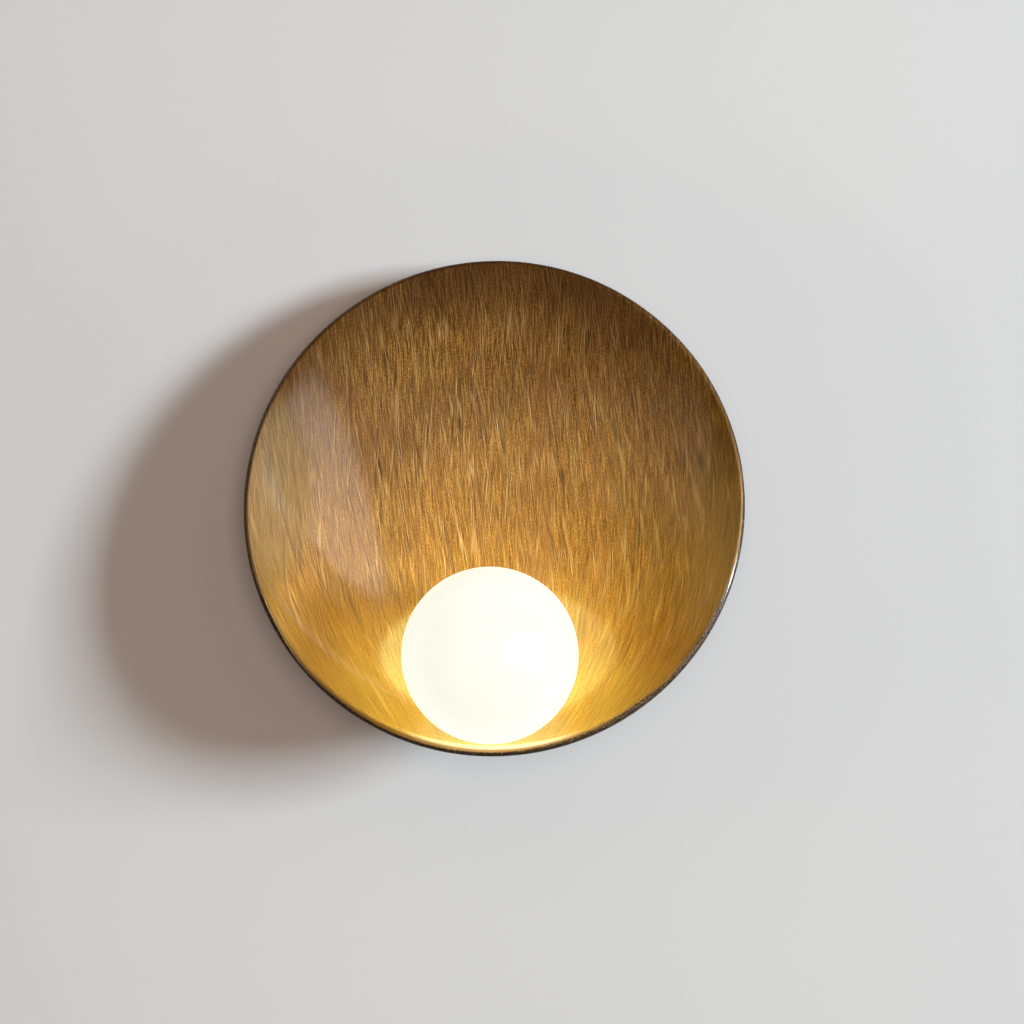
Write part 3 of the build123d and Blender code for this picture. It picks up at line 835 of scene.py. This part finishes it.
# %% Green and yellow sleeve, bulb cover and phosphor
def striped_sleeve():
    material, shader, spot, (x, _, z) = new_finish("lead_green")
    slow = cloud(spot, 80.0, 2.0)
    band = ((x + z * 0.6) * 1400.0 + slow * 0.6).sine().span(0.25, 0.35)
    feed(shader, Base_Color=band.blend((0.045, 0.22, 0.035), (0.72, 0.56, 0.035)))
    feed(shader, Roughness=0.36 + slow * 0.12)
    return material


def clear_cover():
    material, shader, spot, _ = new_finish("bulb_cover")
    slow = cloud(spot, 120.0, 2.0)
    feed(shader, Base_Color=slow.ramp((0.3, (0.90, 0.89, 0.86)), (0.7, (0.97, 0.96, 0.93))))
    feed(shader, Roughness=0.05 + slow * 0.08, Transmission_Weight=0.92, IOR=1.49)
    return material


def phosphor():
    material, shader, spot, _ = new_finish("led_yellow")
    specks = cloud(spot, 2500.0, 2.0)
    feed(shader, Base_Color=specks.ramp((0.3, (0.72, 0.47, 0.05)), (0.7, (0.90, 0.68, 0.14))))
    feed(shader, Emission_Color=specks.ramp((0.3, (1.0, 0.66, 0.22)), (0.7, (1.0, 0.78, 0.36))))
    feed(shader, Emission_Strength=2.0, Roughness=0.4 + specks * 0.1)
    return material


for finish in (striped_sleeve(), clear_cover(), phosphor()):
    finishes[finish.name] = finish
print("finishes:", len(finishes))

# %% [markdown]
# ## Dressing the pieces
# The record names a material slot for each piece, so a piece finds its finish by that name. The dish
# and the globe already have theirs.

# %% Finishes on the pieces
slot_of = {row["node"]: row["material_slot"] for row in frame["record"]["subparts"]}
dressed = [name for name in frame["nodes"] if slot_of[name] in finishes]
for name in dressed:
    mesh = frame["nodes"][name].data
    mesh.materials.clear()
    mesh.materials.append(finishes[slot_of[name]])
print("nodes dressed:", len(dressed), "of", len(frame["nodes"]))

# %% [markdown]
# ## The wall
# The light hangs on a plain painted wall. It is only the stage, so it is one wide disc with a quiet
# rolled-paint texture. It has a hole where the wall box hides it, and its back is see-through, so
# that the fittings behind the dish can be looked at from behind.


# %% Wall paint
def wall_paint():
    material, shader, spot, _ = new_finish("wall_paint")
    rolled = cloud(spot, 300.0, 3.0, 0.6)
    shades = rolled * 0.12 + cloud(spot, 2.2, 2.0) * 0.88
    feed(shader, Base_Color=shades.ramp((0.3, (0.70, 0.70, 0.70)), (0.7, (0.74, 0.74, 0.735))))
    feed(shader, Roughness=0.9, Specular_IOR_Level=0.1)
    feed(shader, Normal=bumps(rolled, strength=0.04, distance=0.0004))
    back = spot.node("ShaderNodeNewGeometry", {}, {}, "Backfacing")
    clear = spot.node("ShaderNodeBsdfTransparent", {}, {})
    front = Value(material.node_tree, shader.outputs[0])
    both = spot.node("ShaderNodeMixShader", {}, {0: back, 1: front, 2: clear})
    feed(material.node_tree.nodes["Material Output"], Surface=both)
    return material


print("wall paint ready")

# %% Painted wall
wall_gap = 0.0004
hole_radius, wall_radius, wall_sides = 0.054, 9.0, 96
paint = bmesh.new()
on_wall = Matrix.Translation((0, wall_gap, 0)) @ to_wall
last = []
for radius in (hole_radius, wall_radius):
    circle = bmesh.ops.create_circle(paint, segments=wall_sides, radius=radius, matrix=on_wall)
    last, _ = add_ring(paint, circle["verts"], last)
for face in paint.faces:
    if face.normal.y > 0:
        face.normal_flip()
wall = new_piece("wall", paint, wall_paint())
print("wall faces", rounded(wall.data.polygons[0].normal, 2))

# %% [markdown]
# ## Window and fill
# A large window stands to the right, a little above the lamp, and draws the soft shadow. A warm fill
# from the front lifts the shadow, and glossy pieces don't mirror it. Every lamp and the camera stand
# some way off in one direction and look back at a point, so small helpers place them.

# %% Placing lamps
aim = Vector((0.0, -0.05, 0.06))


def out_from_wall(side, lift):
    """The direction out of the wall, turned so many degrees to the right and so many up."""
    side, lift = radians(side), radians(lift)
    return Vector((sin(side) * cos(lift), -cos(side) * cos(lift), sin(lift)))


def stand(piece, middle, way, distance, roll=0.0):
    """Stands a lamp or the camera some way off a middle, looking at it, rolled by some degrees."""
    piece.location = middle + way * distance
    turn = way.to_track_quat("Z", "Y") @ Quaternion((0, 0, 1), radians(roll))
    piece.rotation_euler = turn.to_euler()
    scene.collection.objects.link(piece)


def area_lamp(name, shape, size, watts, colour, way, distance, roll=0.0):
    """A flat lamp of a shape and size that looks at the light."""
    lamp = bpy.data.lights.new(name, "AREA")
    lamp.shape = shape
    lamp.size, lamp.size_y = size
    lamp.energy = watts
    lamp.color = colour
    piece = bpy.data.objects.new(name, lamp)
    stand(piece, aim, way, distance, roll)
    print(name, "at", rounded(piece.location, 2))
    return piece


print("lamps look at", rounded(aim))

# %% Window and fill
window_light, fill_light = (0.78, 0.915, 1.0), (1.0, 0.765, 0.640)
window_way, fill_way = out_from_wall(56.0, 7.7), out_from_wall(5.0, 4.0)
area_lamp("window", "RECTANGLE", (1.04, 1.30), 317.0, window_light, window_way, 5.2)
fill = area_lamp("fill", "RECTANGLE", (1.1, 1.1), 28.5, fill_light, fill_way, 3.0)
fill.visible_glossy = False

# %% [markdown]
# ## Shapes for the lacquer to mirror
# Two pale shapes are there only for glossy surfaces: the wide pale room in front, and a panel whose
# mirror image is the pale band at the left of the bowl. They give no diffuse light.

# %% Pale room in front and panel
front_light, panel_light = (1.0, 0.75, 0.57), (1.0, 1.0, 1.0)
front_way, panel_way = out_from_wall(4.0, 8.0), out_from_wall(36.0, 7.0)
panel_roll = -28.0
front = area_lamp("front", "ELLIPSE", (9.0, 4.4), 44.0, front_light, front_way, 3.0)
panel = area_lamp("panel", "ELLIPSE", (1.26, 0.86), 5.2, panel_light, panel_way, 2.0, panel_roll)
for piece in (front, panel):
    piece.visible_diffuse = False

# %% [markdown]
# ## The globe's own light, and one from behind
# A lamp as big as the globe throws the globe's yellow light into the bowl. Light linking keeps it
# off the glass itself, and the glass doesn't block it. Another lamp stands behind the wall and shows
# the fittings from behind, and the wall lets it through in the same way.


# %% Lamp in the globe
def passes(lamp_piece, name, piece):
    """Light linking: the lamp doesn't light the piece, and the piece doesn't block the lamp."""
    left_out = bpy.data.collections.new(name)
    left_out.objects.link(piece)
    lamp_piece.light_linking.receiver_collection = left_out
    lamp_piece.light_linking.blocker_collection = left_out
    left_out.collection_objects[0].light_linking.link_state = "EXCLUDE"


glow_skin, glow_forward = 0.0004, 0.004
glow = bpy.data.lights.new("glow", "POINT")
glow.shadow_soft_size = globe_radius + glow_skin
glow.use_soft_falloff = False
glow.energy = 0.40
glow.color = (0.97, 1.0, 0.30)
glow_piece = bpy.data.objects.new("glow", glow)
glow_piece.location = seat_frame @ Vector((0, 0, globe_middle + glow_forward))
glow_piece.visible_camera = False
scene.collection.objects.link(glow_piece)
passes(glow_piece, "not_lit_by_glow", globe)
print("glow of", round(glow.energy, 2), "W from the globe's skin")

# %% Light behind the wall
behind_light = (1.0, 0.96, 0.90)
behind_way = Vector((-0.05, 1.0, -0.04)).normalized()
behind = area_lamp("behind", "DISK", (0.6, 0.6), 21.0, behind_light, behind_way, 2.2)
passes(behind, "passed_by_light_behind", wall)

# %% [markdown]
# ## The room around
# The rest of the room is a world that is lighter above than below, and a little stronger from the
# right. Surfaces get little of it from in front, where the lamps do the work, and views that look
# past the wall see an even pale grey.

# %% Room
pale_grey = (0.56, 0.555, 0.55)
room = bpy.data.worlds.new("room")
room.use_nodes = True
looking = Value(room.node_tree, None).node("ShaderNodeTexCoord", {}, {}, "Generated")
seen = looking.node("ShaderNodeLightPath", {}, {}, "Is Camera Ray")
sideways, ahead, upward = split(looking)
shade = (upward * 0.5 + 0.5).ramp(
    (0.20, (0.160, 0.116, 0.087)),
    (0.50, (0.440, 0.327, 0.249)),
    (0.62, (0.620, 0.466, 0.357)),
    (1.00, (0.760, 0.577, 0.444)),
)
weaker_in_front = 0.95 + ahead.at_most(0.0).span(0.0, -0.12) * -0.73
strength = weaker_in_front * (1.0 + sideways * 0.35)
background = room.node_tree.nodes["Background"]
feed(background, Color=seen.blend(shade, pale_grey), Strength=strength * (1.0 - seen) + seen)
scene.world = room
print_nodes(room)

# %% [markdown]
# ## Camera
# The camera looks nearly straight at the wall from some way off with a long lens, so that the dish
# keeps its round outline. Angle, distance and lens were set until the rim and the globe lay where
# the picture has them.

# %% Camera
looked_at = Vector((0.0098, -0.063, 0.0547))
view_way, view_distance = out_from_wall(2.7, 3.1), 1.437
camera = bpy.data.cameras.new("camera")
camera.lens = 97.8
camera.sensor_width = 36.0
camera_piece = bpy.data.objects.new("camera", camera)
stand(camera_piece, looked_at, view_way, view_distance)
scene.camera = camera_piece
scene.view_settings.view_transform = "Standard"
print("camera", round(camera.lens, 1), "mm at", rounded(camera_piece.location, 3))
